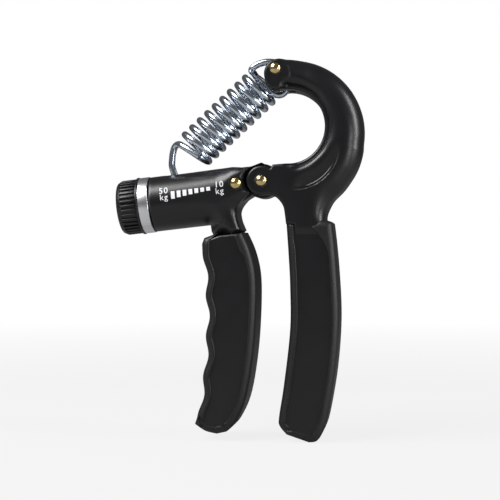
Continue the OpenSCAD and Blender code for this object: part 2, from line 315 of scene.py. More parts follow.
def scattered(shape, places, material):
    """One shape on many places, each a tuple of position, turn and size."""
    points = bpy.data.meshes.new("points")
    points.from_pydata([p[0] for p in places], [], [])
    for label, k in (("turn", 1), ("size", 2)):
        field = points.attributes.new(label, "FLOAT_VECTOR", "POINT")
        field.data.foreach_set("vector", [c for p in places for c in p[k]])
    stamp = bpy.data.objects.new("stamp", shape)
    obj = bpy.data.objects.new("points", points)
    for o in (stamp, obj):
        bpy.context.scene.collection.objects.link(o)
    mesh = run_tree(obj, SCATTER, Shape=stamp, Material=material)
    bpy.data.objects.remove(stamp)
    return mesh

# %% [markdown]
# ## From a mesh to a piece
# Shapes are drawn in millimetres from the main pivot, and only the last step moves them into the
# row frame, in metres. The object itself stays at the origin, as a CAD node does.

# %% Piece helpers
TO_FRAME = Matrix.Translation(pivot) @ Matrix.Scale(MM, 4)
BARREL_TILT = math.atan2(barrel_axis.z, barrel_axis.x)
BARREL_END = (Vector(joints["knob_turn"]["pos_m"]) - pivot) / MM
# Local Z runs along the barrel towards the pivot, local X is up across it, local Y is the front
ALONG = Matrix.Translation(BARREL_END) @ Matrix((
    (math.cos(BARREL_TILT), 0, -math.sin(BARREL_TILT)), (0, 1, 0),
    (math.sin(BARREL_TILT), 0, math.cos(BARREL_TILT)))).to_4x4() @ Matrix((
    (0, 0, 1), (0, -1, 0), (1, 0, 0))).to_4x4()


def join(*meshes):
    shape = bmesh.new()
    for mesh in meshes:
        shape.from_mesh(mesh)
    made = bpy.data.meshes.new("joined")
    shape.to_mesh(made)
    shape.free()
    return made


def moved(mesh, matrix):
    mesh = mesh.copy()
    mesh.transform(matrix)
    return mesh


def piece(name, mesh, material, body, replaces=(), sharp=32, weld=0.0005):
    """Weld, shade, move into the frame and hand the piece to its body."""
    shape = bmesh.new()
    shape.from_mesh(mesh)
    bmesh.ops.remove_doubles(shape, verts=shape.verts, dist=weld)
    bmesh.ops.dissolve_degenerate(shape, edges=shape.edges, dist=1e-6)
    bmesh.ops.recalc_face_normals(shape, faces=shape.faces)
    shape.to_mesh(mesh)
    shape.free()
    mesh.transform(TO_FRAME)
    mesh.materials.clear()
    mesh.materials.append(material)
    mesh.polygons.foreach_set("material_index", [0] * len(mesh.polygons))
    mesh.shade_smooth()
    mesh.set_sharp_from_angle(angle=math.radians(sharp))
    mesh.name = name
    obj = bpy.data.objects.new(name, mesh)
    bpy.context.scene.collection.objects.link(obj)
    if body:
        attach(obj, body)
    if replaces:
        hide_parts(*replaces)
    print(name, len(mesh.polygons), "faces")
    return obj


def cut(mesh, *tools):
    """The mesh with the tools cut away, by Blender's exact boolean."""
    obj = bpy.data.objects.new("blank", mesh)
    bpy.context.scene.collection.objects.link(obj)
    made = []
    for tool in tools:
        cutter = bpy.data.objects.new("cutter", tool)
        bpy.context.scene.collection.objects.link(cutter)
        made.append(cutter)
        modifier = obj.modifiers.new("cut", "BOOLEAN")
        modifier.object, modifier.operation, modifier.solver = cutter, "DIFFERENCE", "EXACT"
    graph = bpy.context.evaluated_depsgraph_get()
    result = bpy.data.meshes.new_from_object(obj.evaluated_get(graph))
    for o in [obj, *made]:
        bpy.data.objects.remove(o)
    return result


def lathe(profile, steps=96):
    """Turn a list of (radius, height) about Z. Radii of 0 close the ends."""
    rows = []
    verts, faces = [], []
    for radius, height in profile:
        if radius < 1e-6:
            rows.append([len(verts)])
            verts.append((0, 0, height))
        else:
            rows.append(list(range(len(verts), len(verts) + steps)))
            turns = [2 * math.pi * k / steps for k in range(steps)]
            verts += [(radius * math.cos(t), radius * math.sin(t), height) for t in turns]
    for low, high in zip(rows, rows[1:]):
        for k in range(steps):
            a, b = low[k % len(low)], low[(k + 1) % len(low)]
            c, d = high[(k + 1) % len(high)], high[k % len(high)]
            ring = [a, b, c, d]
            faces.append([v for i, v in enumerate(ring) if v not in ring[:i]])
    mesh = bpy.data.meshes.new("lathe")
    mesh.from_pydata(verts, [], [f for f in faces if len(f) > 2])
    return mesh


def box(low, high, soft=0.0):
    shape = bmesh.new()
    bmesh.ops.create_cube(shape, size=1)
    for v in shape.verts:
        v.co = [low[i] + (high[i] - low[i]) * (v.co[i] + 0.5) for i in range(3)]
    if soft:
        bmesh.ops.bevel(shape, geom=shape.edges[:], offset=soft, segments=3, affect="EDGES", profile=0.5)
    mesh = bpy.data.meshes.new("box")
    shape.to_mesh(mesh)
    shape.free()
    return mesh


def rounded(corners, soft, steps=5):
    """A lathe profile from corner points, where each corner with a soft value is rounded."""
    made = []
    for i, (corner, size) in enumerate(zip(corners, soft)):
        if not size or i in (0, len(corners) - 1):
            made.append(corner)
            continue
        here, before, after = Vector(corner), Vector(corners[i - 1]), Vector(corners[i + 1])
        a, b = here + (before - here).normalized() * size, here + (after - here).normalized() * size
        made += [tuple(a * (1 - t) ** 2 + here * 2 * t * (1 - t) + b * t * t)
                 for t in (k / steps for k in range(steps + 1))]
    return made


ACROSS = Matrix.Rotation(math.radians(90), 4, "X")


def across(radius, depth, at=(0, 0), steps=72):
    """A cylinder along Y at a place in the outline plane."""
    mesh = lathe([(0, -depth / 2), (radius, -depth / 2), (radius, depth / 2), (0, depth / 2)], steps)
    mesh.transform(Matrix.Translation((at[0], 0, at[1])) @ ACROSS)
    return mesh

# %% [markdown]
# ## Relief slabs
# The arm and the handles are flat mouldings with soft edges and shallow hollows. One way is to
# extrude an outline and bevel it, but a wide bevel breaks at tight inside corners. Instead we fill
# the outline with fine triangles and lift each point by a formula of its place and its distance
# from the edge, so any radius works everywhere. The back is the mirror image of the front.

# %% Relief helpers
def arc(centre, radius, start, stop, steps=24):
    return [(centre[0] + radius * math.cos(math.radians(start + (stop - start) * k / steps)),
             centre[1] + radius * math.sin(math.radians(start + (stop - start) * k / steps)))
            for k in range(steps + 1)]


def curve(points, steps=6):
    """A smooth line through the points, the same rule as the CAD outlines use."""
    p = [Vector(q) for q in points]
    made = []
    for i in range(len(p) - 1):
        a, b, c, d = p[max(i - 1, 0)], p[i], p[i + 1], p[min(i + 2, len(p) - 1)]
        for k in range(steps):
            t = k / steps
            made.append(tuple(0.5 * (2 * b + (c - a) * t + (2 * a - 5 * b + 4 * c - d) * t * t
                                     + (3 * b - a - 3 * c + d) * t ** 3)))
    return made + [tuple(p[-1])]


def spaced(line, step, closed):
    """The same line with no stretch longer than step and no doubled points."""
    made = []
    ends = line[1:] + line[:1] if closed else line[1:]
    for a, b in zip(line, ends):
        a, b = Vector(a), Vector(b)
        n = max(1, math.ceil((b - a).length / step))
        made += [tuple(a + (b - a) * k / n) for k in range(n)]
    if not closed:
        made.append(tuple(line[-1]))
    kept = [made[0]]
    for q in made[1:]:
        if (Vector(q) - Vector(kept[-1])).length > 0.02:
            kept.append(q)
    return kept


def inward(loop, depth):
    """A closed loop moved inwards, one point at a time."""
    q = np.array(loop)
    along = np.roll(q, -1, 0) - np.roll(q, 1, 0)
    along /= np.linalg.norm(along, axis=1)[:, None]
    turn = np.sign(np.sum(q[:, 0] * np.roll(q[:, 1], -1) - np.roll(q[:, 0], -1) * q[:, 1]))
    return [tuple(r) for r in q + depth * turn * np.stack([-along[:, 1], along[:, 0]], 1)]


def away(points, line, closed=True):
    """Distance of each point from a line."""
    q = np.array(line)
    a, b = (q, np.roll(q, -1, 0)) if closed else (q[:-1], q[1:])
    ab = b - a
    length = np.maximum((ab ** 2).sum(1), 1e-12)
    best = np.full(len(points), 1e9)
    for i in range(0, len(points), 4000):
        part = points[i:i + 4000, None, :] - a[None]
        t = np.clip((part * ab[None]).sum(2) / length, 0, 1)
        best[i:i + 4000] = np.sqrt(((part - t[..., None] * ab[None]) ** 2).sum(2).min(1))
    return best


def inside(points, line):
    q = np.array(line)
    a, b = q, np.roll(q, -1, 0)
    odd = np.zeros(len(points), bool)
    for (x0, z0), (x1, z1) in zip(a, b):
        if z0 == z1:
            continue
        hit = ((z0 > points[:, 1]) != (z1 > points[:, 1]))
        odd ^= hit & (points[:, 0] < (x1 - x0) * (points[:, 1] - z0) / (z1 - z0) + x0)
    return odd


def relief(loop, height, step=0.7, rings=(0.06, 0.2, 0.45, 0.8, 1.25), extra=()):
    """A closed solid from one outline, whose half depth is height(points, distance)."""
    edge = np.array(spaced(loop, step, True))
    normals = np.array(inward([tuple(q) for q in edge], 1.0)) - edge
    points = [edge]
    for ring in rings:
        near = edge + normals * ring
        points.append(near[inside(near, edge) & (abs(away(near, edge) - ring) < 0.02)])
    low, high = edge.min(0), edge.max(0)
    xs, zs = np.arange(low[0], high[0], step), np.arange(low[1], high[1], step * 0.866)
    grid = np.array([(x + (j % 2) * step / 2, z) for j, z in enumerate(zs) for x in xs])
    grid = grid[inside(grid, edge)]
    points.append(grid[away(grid, edge) > rings[-1] + 0.4 * step])
    if len(extra):
        near = np.array(extra)
        near = near[inside(near, edge)]
        near = near[away(near, edge) > rings[-1] + 0.4 * step]
        grid = points.pop()
        points += [grid[[np.hypot(*(near - q).T).min() > 0.55 * step for q in grid]], near]
    flat = np.concatenate(points)
    n = len(edge)
    made = delaunay_2d_cdt([Vector(q) for q in flat], [(k, (k + 1) % n) for k in range(n)], [], 0, 1e-4)
    flat = np.array([tuple(v) for v in made[0]])
    faces = [tuple(f) for f in made[2]]
    middle = np.array([flat[list(f)].mean(0) for f in faces])
    faces = [f for f, keep in zip(faces, inside(middle, edge)) if keep]
    turn = [np.cross(flat[f[1]] - flat[f[0]], flat[f[2]] - flat[f[0]]) for f in faces]
    faces = [f if t > 0 else f[::-1] for f, t in zip(faces, turn)]
    tall = height(flat, away(flat, edge))
    size = len(flat)
    verts = [(x, -y, z) for (x, z), y in zip(flat, tall)] + [(x, y, z) for (x, z), y in zip(flat, tall)]
    sides = {}
    for f in faces:
        for a, b in zip(f, f[1:] + f[:1]):
            sides[(a, b)] = 1
    rim = [(a, b) for a, b in sides if (b, a) not in sides]
    walls = [(b, a, a + size, b + size) for a, b in rim]
    mesh = bpy.data.meshes.new("relief")
    mesh.from_pydata(verts, [], faces + [tuple(v + size for v in f[::-1]) for f in faces] + walls)
    return mesh


def ease(x, low, high):
    """0 below low, 1 above high, smooth between."""
    t = np.clip((x - low) / (high - low), 0, 1)
    return t * t * (3 - 2 * t)


def round_edge(distance, radius):
    """How far a rounded edge lies under the flat, at a distance from the edge."""
    t = np.clip(1 - distance / radius, 0, 1)
    return radius * (1 - np.sqrt(1 - t * t))

# %% [markdown]
# ## The curved arm
# The arm is a thick C whose outer side is well rounded, so a long soft highlight runs along it.
# The inner edge has a low rim with a step, and a shallow crescent hollow is pressed into the lower
# right, with a sharp outer edge that fades towards the middle. The tip ends in a round knuckle with
# a slot for the spring's loop, and two ears hold the lever's tongue at the pivot.

# %% Shared sizes, in mm from the pivot
HALF_D = 12.0
EYE, EYE_R = (11.3, 23.7), 16.3
ARC_C, ARM_R = (12.6, 21.1), 32.0
ARM_LOW = [(27.9, -17.2), (28.1, -15.2), (29.1, -12.6), (31.3, -8.9), (35.5, -4.7), (38.8, -0.2), (41.4, 4.2),
           (43.1, 8.7), (44.1, 13)]
SPRING_PIN = (Vector(joints["spring_swing"]["pos_m"]) - pivot) / MM
EAR_R, TONGUE_R, TONGUE_W = 6.5, 7.6, 12.0
BAND_W, PANEL_SINK, BAND_RISE = 3.5, 0.6, 0.2
BAND_SOFT_OUT, BAND_SOFT_IN, CORE_INSET, CORE_SOFT = 3.2, 0.9, 1.4, 1.0
BARREL_R, BARREL_BORE = 12.25, 9.2
TURN = (math.sin(BARREL_TILT), math.cos(BARREL_TILT))

NOSE = [(10.7, 53.1), (6.9, 53), (3.2, 51.4), (1.3, 47.5), (2, 43), (4.6, 39.6), (7.6, 38.9)]
ARCH = [(0, -EAR_R), (3.9, -6.3), (6.6, -7.4), (8.7, -9.6), (10, -12.4), (10.9, -19)]
PALM_INNER = [(10.9, -19), (11.8, -32), (12.5, -46), (12.5, -65), (9.8, -89), (7.65, -103),
              (7.9, -107), (11, -110.8)]
PALM_OUTER = [(20.7, -114), (24.2, -113.3), (27, -109), (29.3, -101.3), (32.5, -82), (34, -60),
              (33, -38), (31.3, -21), (30.4, -18.2), (27.5, -17.2), (24.5, -17.2), (19, -19)]
PALM = curve(PALM_INNER) + curve(PALM_OUTER)

# %% Arm mesh
inner_edge = arc(EYE, EYE_R, 102, -90, 60)
outer_edge = curve(ARM_LOW) + arc(ARC_C, ARM_R, -8, 96, 60)
ARM = (curve(NOSE) + inner_edge + [(5, 6.9), (3.9, 5.2)] + arc((0, 0), EAR_R, 52, 270, 40)[1:-1]
       + curve(ARCH) + [(14.4, -19.4), (14.4, -30), (27.0, -30), (27.9, -23)] + outer_edge)
HOLLOW_C, HOLLOW_R, HOLLOW_W, HOLLOW_D = (14.3, 15.9), 19.9, 8.5, 2.5


def arm_height(q, d):
    x, z = q[:, 0], q[:, 1]
    to_inner = away(q, inner_edge + [(5, 6.9)], closed=False)
    to_outer = away(q, outer_edge + NOSE[:1], closed=False)
    in_arm = ease(np.hypot(x, z), 8, 20)
    tall = np.full(len(q), HALF_D)
    # The outer side rolls off over a wide radius, less so at the neck and at the knuckle
    wide = 2.2 + 6.8 * ease(z, -30, -4) * ease(x, 6, 20)
    tall -= round_edge(to_outer, wide)
    # A low rim runs along the inner edge, then the surface steps up and rolls over
    roll = round_edge(np.maximum(to_inner - 2.0, 0), 4.2) * 0.62
    tall -= np.where(to_inner < 2.0, 2.6, roll) * ease(in_arm, 0.2, 0.9) * ease(x, 7.6, 11.6)
    # The arm is a little thinner than the knuckle at its tip
    knuckle = ease(np.hypot(x - 6.2, z - 46.3), 5.6, 7.2)
    tall -= 0.6 * knuckle * ease(-np.hypot(x - 6.2, z - 46.3), -20, -7)
    # Crescent hollow
    out = np.hypot(x - HOLLOW_C[0], z - HOLLOW_C[1])
    turn = np.degrees(np.arctan2(z - HOLLOW_C[1], x - HOLLOW_C[0]))
    ends = ease(turn, -98, -70) * ease(-turn, -4, 36)
    fade = np.clip(1 - (HOLLOW_R - out) / HOLLOW_W, 0, 1) ** 1.3
    tall -= HOLLOW_D * ends * fade * (1 - ease(out, HOLLOW_R - 1.3, HOLLOW_R + 0.5))
    # Small rounding on every remaining edge, and the neck sinks under the handle's panel
    tall -= round_edge(d, 1.1)
    tall -= 1.2 * ease(-z, 20, 27)
    return np.maximum(tall, 1.5)


def handle_core(outline):
    """The hard flat core that shows as the side panel of a handle."""
    return relief(inward(outline, CORE_INSET),
                  lambda q, d: HALF_D - PANEL_SINK - round_edge(d, CORE_SOFT), step=0.9)


# Extra points that follow the hollow's lip, and many rings for the wide rounding
lip = [(HOLLOW_C[0] + (HOLLOW_R + k) * math.cos(a), HOLLOW_C[1] + (HOLLOW_R + k) * math.sin(a))
       for k in (-1.2, -0.9, -0.6, -0.35, -0.1, 0.15, 0.4)
       for a in np.radians(np.arange(-100, 40, 1.0))]
ARM_RINGS = (0.06, 0.2, 0.45, 0.8, 1.25, 1.75, 2.3, 2.9, 3.6, 4.4, 5.3, 6.3)
arm = relief(ARM, arm_height, step=0.5, rings=ARM_RINGS, extra=lip)
slot_cut = box((-12, -2.2, -11.5), (12, 2.2, 11.5))
slot_cut.transform(Matrix.Translation((SPRING_PIN.x - 3, 0, SPRING_PIN.z - 3))
                   @ Matrix.Rotation(math.radians(45), 4, "Y"))
gap_w = TONGUE_W / 2 + 0.6
arm = cut(arm, slot_cut, across(TONGUE_R + 0.5, 2 * gap_w, steps=96),
          box((-24, -gap_w, -7.0), (0, gap_w, 7.0)))
piece("arm_moulding", join(arm, handle_core(PALM)), frame_black, "arm", ["arm_frame"],
      sharp=38)

# %% [markdown]
# ## Soft bands on the handles
# Each handle has a band of softer plastic moulded around its edge, a little proud of the flat side
# panel. On the palm side it starts in a raised collar behind the neck. The finger side has four
# shallow grooves. Two roundings meet in the band: wide outside, tight inside.

# %% Band outlines
def band_mesh(outside, within):
    def height(q, d):
        tall = np.full(len(q), HALF_D + BAND_RISE)
        tall -= round_edge(away(q, outside, closed=False), BAND_SOFT_OUT)
        tall -= round_edge(away(q, within, closed=False), BAND_SOFT_IN)
        return tall - round_edge(d, 0.5)
    return relief(outside + within, height, step=0.6)


palm_in = [q for q in inward(PALM, BAND_W) if q[1] < (-33 if q[0] > 20 else -27)]
collar = [(29.0, -31.5), (27.4, -27.5), (24.6, -23.4), (21.6, -20.6)]
palm_hole = collar[::-1] + palm_in[::-1] + [(14.4, -25), (14.4, -19.4)]
piece("palm_band", band_mesh(PALM, palm_hole), grip_black, "arm", ["palm_grip"])

# %% [markdown]
# ## The lever: barrel and finger handle
# The barrel is a round tube that swells into a flat block at the pivot and runs down into the
# finger handle. One formula gives both: the round height of the tube and the flat height of the
# block, joined by a soft maximum, so they blend as in a mould. Its bore and the slot on its top are
# cut afterwards, and a tongue reaches between the arm's ears.

# %% Lever mesh
LEVER_ARCH = [(-5.3, -5.4), (-9, -9), (-11, -12.6), (-10.6, -17), (-8.8, -21.5)]
LEVER_INNER = [(-8.8, -21.5), (-4.6, -31), (-2.2, -43), (-2.4, -62), (-4, -80), (-7, -96),
               (-11.6, -106), (-15.5, -110)]
LEVER_LOW = [(-19.8, -111), (-25, -109.8), (-29.6, -106.8)]
GROOVE_TOP, GROOVE_PITCH, GROOVE_D = -33, 17.5, 1.6


def barrel_point(s, up):
    return (BARREL_END[0] + s * TURN[1] - up * TURN[0], BARREL_END[2] + s * TURN[0] + up * TURN[1])


def finger_edge(z):
    wave = 1 - math.cos((z - GROOVE_TOP) / GROOVE_PITCH * 2 * math.pi)
    inside_grooves = GROOVE_TOP > z > GROOVE_TOP - 4 * GROOVE_PITCH
    return -24.6 - 5.2 * ((z + 60) / 50) ** 2 + (GROOVE_D * wave / 2 if inside_grooves else 0)


FINGER = (curve(LEVER_INNER) + curve(LEVER_LOW)
          + [(finger_edge(z), z) for z in np.linspace(-104, -32, 73)]
          + [(-26.4, -27.6), (-25.4, -25), (-19, -22.6)])
LEVER = ([barrel_point(0, -BARREL_R), barrel_point(25, -BARREL_R)]
         + [(-23.4, -22.2), (-22.0, -24.6), (-12.4, -24.6)] + curve(LEVER_ARCH[::-1])
         + arc((0, 0), 7.0, 225, 96, 40)[1:]
         + [(1.3, 6.9), (0.6, 7.7), (-0.3, 8.1), (-2.6, 7.2), (-4.8, 6.4), (-8.9, 6.0), (-13.3, 6.3)]
         + [barrel_point(31, BARREL_R), barrel_point(0, BARREL_R)])


def lever_height(q, d):
    x, z = q[:, 0], q[:, 1]
    s = (x - BARREL_END[0]) * TURN[1] + (z - BARREL_END[2]) * TURN[0]
    up = -(x - BARREL_END[0]) * TURN[0] + (z - BARREL_END[2]) * TURN[1]
    radius = BARREL_R - round_edge(np.maximum(s, 0), 1.3) - np.maximum(s - 30, 0) * 0.12
    tube = np.sqrt(np.maximum(radius ** 2 - up ** 2, 0))
    block = HALF_D - round_edge(d, 10.5 - 6.3 * ease(x, -22, -9))
    share = ease(x, -36, -12)
    soft = 0.5 * (tube + block + np.sqrt((tube - block) ** 2 + 0.6)) - 0.18
    tall = tube * (1 - share) + np.minimum(soft, HALF_D) * share
    # A small round edge where the block meets the ear
    tall -= round_edge(np.maximum(np.hypot(x, z) - 7.0, 0), 0.7) * ease(x, -9, -7)
    return np.maximum(tall, 0.05)


lever = relief(LEVER, lever_height, step=0.55)
BORE_L, SLOT_FROM, SLOT_TO, SLOT_HALF = 36.5, 7, 30.5, 2.5
bore = lathe([(0, -2), (BARREL_BORE, -2), (BARREL_BORE, BORE_L), (0, BORE_L)])
bore.transform(ALONG)
slot = box((3, -SLOT_HALF, SLOT_FROM), (16, SLOT_HALF, SLOT_TO), soft=0.6)
slot.transform(ALONG)
lever = cut(lever, bore, slot)
tongue_loop = (arc((0, 0), TONGUE_R, -125, 90, 60) + [(-4, 6.2), (-9, 4.6), (-16, 3), (-16, -12),
               (-11.6, -12.6), (-9.6, -9.4)])
tongue = relief(tongue_loop, lambda q, d: TONGUE_W / 2 - round_edge(d, 0.5), step=0.9)
tongue = cut(tongue, across(2.1, 20, steps=48))
piece("lever_moulding", join(lever, tongue, handle_core(FINGER)), frame_black, "lever", ["lever_frame"],
      sharp=38)

finger_in = [q for q in inward(FINGER, BAND_W) if q[1] < -33]
finger_hole = [(-22.6, -26), (-22.6, -31)] + finger_in[::-1] + [(-9.6, -31), (-12.2, -24)]
piece("finger_band", band_mesh([q for q in FINGER if q[1] < -22.3], finger_hole), grip_black,
      "lever", ["finger_grip"])

# %% [markdown]
# ## Rivets, ring and inner parts
# Domed brass rivets sit in shallow round seats. One head is turned once and scattered to both ends
# of each rivet. The bright ring closes the barrel, and behind the slot one can see the screw, the
# slider and its pin, so they are real parts with a thread, chamfers and a slot.

# %% Rivets
def head_mesh(radius=2.5, rise=1.35, flange=0.25):
    ball = (radius * radius + rise * rise) / (2 * rise)
    dome = []
    for k in range(13):
        r = radius * math.cos(math.radians(90) * k / 12)
        dome.append((r, flange + math.sqrt(max(ball * ball - r ** 2, 0)) - ball + rise))
    dome[-1] = (0, flange + rise)
    return lathe([(0, -0.6), (radius, -0.6), (radius, 0.05), *dome], 48)


def both_faces(spots, half):
    """Places on the front and the back, where local Z points outwards."""
    return [((x, side * half, z), (math.radians(-90 * side), 0, 0), (1, 1, 1))
            for x, z in spots for side in (-1, 1)]


def rivet_heads(spots, half):
    return scattered(head_mesh(), both_faces(spots, half), brass)


def seat_ring(spots, half, radius=2.9):
    """Thin raised lip around each rivet head."""
    shape = lathe([(radius + 0.35, -0.3), (radius + 0.28, 0.12), (radius + 0.05, 0.16),
                   (radius - 0.15, 0.05), (radius - 0.2, -0.3)], 64)
    return scattered(shape, both_faces(spots, half), frame_black)


TIP, HUB, BARREL_RIVET = (SPRING_PIN.x, SPRING_PIN.z), (0.0, 0.0), (-11.2, -1.1)
RIVET_L, HEAD_AT, SEAT_AT = 23.8, HALF_D - 0.25, HALF_D - 0.05
pins = join(across(1.98, RIVET_L, HUB), across(1.58, RIVET_L, TIP))
piece("arm_rivets", join(rivet_heads([TIP, HUB], HEAD_AT), pins), brass, "arm",
      ["pivot_rivet", "spring_rivet"], sharp=50)
piece("barrel_rivet_heads",
      join(rivet_heads([BARREL_RIVET], HEAD_AT), across(1.15, RIVET_L, BARREL_RIVET)),
      brass, "lever", ["barrel_rivet"], sharp=50)
piece("arm_rivet_seats", seat_ring([TIP, HUB], SEAT_AT), frame_black, "arm")
piece("barrel_rivet_seats", seat_ring([BARREL_RIVET], SEAT_AT), frame_black, "lever")

# %% Ring, knob flange and knob
RING_W, RING_R, GAP, FLANGE_T, KNOB_L, KNOB_R = 4.6, 12.5, 0.175, 0.9, 9.0, 12.25
SCREW_R, SPIGOT = 2.5, 3.0
ring_in, spigot_r = SCREW_R + 0.1, BARREL_BORE - 0.05
ring_profile = rounded([(ring_in, -RING_W), (RING_R, -RING_W), (RING_R, -0.05), (spigot_r, -0.05),
                        (spigot_r, SPIGOT), (ring_in, SPIGOT), (ring_in, -RING_W)],
                       [0, 0.35, 0.35, 0, 0.3, 0.2, 0])
piece("bright_ring", moved(lathe(ring_profile, 160), ALONG), ring_steel, "lever", ["end_ring"])

KNOB_END = RING_W + GAP + FLANGE_T + KNOB_L
flange_profile = rounded([(SCREW_R + 0.05, 0), (KNOB_R + 0.5, 0), (KNOB_R + 0.5, FLANGE_T),
                          (SCREW_R + 0.05, FLANGE_T), (SCREW_R + 0.05, 0)], [0, 0.3, 0.25, 0, 0])
collar_place = ALONG @ Matrix.Translation((0, 0, -KNOB_END + KNOB_L))
piece("knob_collar", moved(lathe(flange_profile, 128), collar_place), knob_black, "knob",
      ["knob_flange"])

RIBS = 36
CORE_R = KNOB_R - 0.75
knob_profile = rounded([(0, 2.0), (7.6, 2.0), (8.0, 0.45), (8.9, 0.0), (KNOB_R - 1.1, 0.0),
                        (CORE_R + 0.55, 1.9), (CORE_R, 2.1), (CORE_R, KNOB_L - 0.1), (0, KNOB_L - 0.1)],
                       [0, 0.3, 0.4, 0.4, 0.9, 0.15, 0.15, 0.2, 0])
knob_body = lathe(knob_profile, 144)
RIB_W = 2 * math.pi * KNOB_R / RIBS * 0.56
rib = box((-0.6, -RIB_W / 2, 0), (0.75, RIB_W / 2, KNOB_L - 2.15), soft=0.28)
for v in rib.vertices:                                   # ribs narrow outwards, as a mould needs
    v.co.y *= 1 - 0.16 * max(v.co.x, 0)
rib_spots = [((CORE_R * math.cos(t), CORE_R * math.sin(t), 1.95), (0, 0, t), (1, 1, 1))
             for t in (2 * math.pi * k / RIBS for k in range(RIBS))]
knob = join(knob_body, scattered(rib, rib_spots, knob_black))
piece("knob_ribbed", moved(knob, ALONG @ Matrix.Translation((0, 0, -KNOB_END))), knob_black, "knob",
      ["knob", "knob_cap", "knob_bolt"], sharp=40)

# %% Screw, clip, slider, pin, block and washers
def helix(radius, pitch, low, high, per_turn=20):
    n = int((high - low) / pitch * per_turn)
    return [(radius * math.cos(2 * math.pi * k / per_turn), radius * math.sin(2 * math.pi * k / per_turn),
             low + (high - low) * k / n) for k in range(n + 1)]


thread = swept(helix(SCREW_R - 0.42, 1.5, 4.4, 35.7), 0.42, plain_steel, sides=6)
rod = lathe(rounded([(0, -KNOB_END + 2.4), (SCREW_R - 0.05, -KNOB_END + 2.4), (SCREW_R - 0.05, 4.2),
                     (SCREW_R - 0.45, 4.4), (SCREW_R - 0.45, 35.5), (SCREW_R - 0.5, 36.1), (0, 36.1)],
                    [0, 0.3, 0.1, 0.1, 0.2, 0.2, 0]), 48)
piece("screw_threaded", moved(join(thread, rod), ALONG), plain_steel, "knob", ["screw"], sharp=45)

clip = lathe(rounded([(SCREW_R, 3.2), (SCREW_R + 2, 3.2), (SCREW_R + 2, 4.0), (SCREW_R, 4.0),
                      (SCREW_R, 3.2)], [0, 0.15, 0.15, 0, 0]), 48)
piece("screw_ring_clip", moved(clip, ALONG), plain_steel, "knob", ["screw_clip"])

SLIDE_R, SLIDE_AT, SLIDE_L, PIN_UP = BARREL_BORE - 0.35, 13.5, 7.0, 6.9
slide = lathe(rounded([(SCREW_R + 0.06, -SLIDE_L / 2), (SLIDE_R, -SLIDE_L / 2), (SLIDE_R, SLIDE_L / 2),
                       (SCREW_R + 0.06, SLIDE_L / 2), (SCREW_R + 0.06, -SLIDE_L / 2)],
                      [0, 0.5, 0.5, 0, 0]), 96)
slide = cut(slide, box((0, -1.9, -6), (14, 1.9, 6)))
piece("slider_block", moved(slide, ALONG @ Matrix.Translation((0, 0, SLIDE_AT))), plain_steel, "slider",
      ["slider"])
pin = lathe(rounded([(0, -3.9), (1.08, -3.9), (1.08, 3.9), (0, 3.9)], [0, 0.25, 0.25, 0]), 32)
piece("slider_pin", moved(pin, ALONG @ Matrix.Translation((PIN_UP, 0, SLIDE_AT)) @ ACROSS), plain_steel,
      "slider", ["hook_pin"])
block = lathe(rounded([(SCREW_R + 0.06, 31.5), (BARREL_BORE - 0.03, 31.5), (BARREL_BORE - 0.03, 36.4),
                       (SCREW_R + 0.06, 36.4), (SCREW_R + 0.06, 31.5)], [0, 0.4, 0.4, 0, 0]), 72)
piece("screw_bearing", moved(block, ALONG), plain_steel, "lever", ["bearing_block"])


def washer(inner, outer, thick):
    return lathe(rounded([(inner, -thick / 2), (outer, -thick / 2), (outer, thick / 2), (inner, thick / 2),
                          (inner, -thick / 2)], [0, thick / 4, thick / 4, 0, 0], 2), 64)


sides = [((0, side * (TONGUE_W / 2 + 0.195), 0), (math.radians(90), 0, 0), (1, 1, 1)) for side in (-1, 1)]
piece("hub_washers", scattered(washer(2.06, EAR_R - 1, 0.3), sides, plain_steel), plain_steel, "lever",
      ["pivot_washers"])
piece("hub_bush", moved(washer(2.06, 2.98, TONGUE_W), ACROSS), plain_steel, "lever",
      ["pivot_bush"])
thin = washer(SCREW_R + 0.06, SCREW_R + 2.5, 0.12)
piece("ring_washer", moved(thin, ALONG @ Matrix.Translation((0, 0, -RING_W - 0.08))), plain_steel,
      "lever", ["thrust_washer"])

# %% [markdown]
# ## The printed scale
# Seven white bars hang from one line and grow towards the strong end, with the load in kilograms
# at both ends. The print is drawn flat, then wrapped on the barrel a hair above its surface.

# %% Scale
BAR_TOP, BAR_W, BAR_PITCH, BAR_FROM, BARS = 4.15, 1.7, 2.65, 10.7, 7
PRINT_LIFT = 0.10


def flat_grid(width, height, nx, nz):
    mesh = bpy.data.meshes.new("bar")
    verts = [(width * i / nx, -height * j / nz, 0) for j in range(nz + 1) for i in range(nx + 1)]
    w = nx + 1
    mesh.from_pydata(verts, [], [(j * w + i, (j + 1) * w + i, (j + 1) * w + i + 1, j * w + i + 1)
                                 for j in range(nz) for i in range(nx)])
    return mesh


bar_spots = [((BAR_FROM + i * BAR_PITCH, BAR_TOP, 0), (0, 0, 0),
              (1, 1.7 + 1.65 * ((BARS - 1 - i) / (BARS - 1)) ** 1.4, 1)) for i in range(BARS)]
bars = scattered(flat_grid(BAR_W, 1.0, 2, 8), bar_spots, scale_ink)


def word(text, s, up, size):
    """A word as a fine flat mesh, centred at a place on the barrel."""
    data = bpy.data.curves.new(text, "FONT")
    data.body, data.size, data.align_x, data.align_y = text, size, "CENTER", "CENTER"
    data.space_character = 1.2
    data.resolution_u = 4
    data.offset = 0.03
    obj = bpy.data.objects.new(text, data)
    bpy.context.scene.collection.objects.link(obj)
    mesh = bpy.data.meshes.new_from_object(obj.evaluated_get(bpy.context.evaluated_depsgraph_get()))
    bpy.data.objects.remove(obj)
    mesh.transform(Matrix.Translation((s, up, 0)))
    return mesh


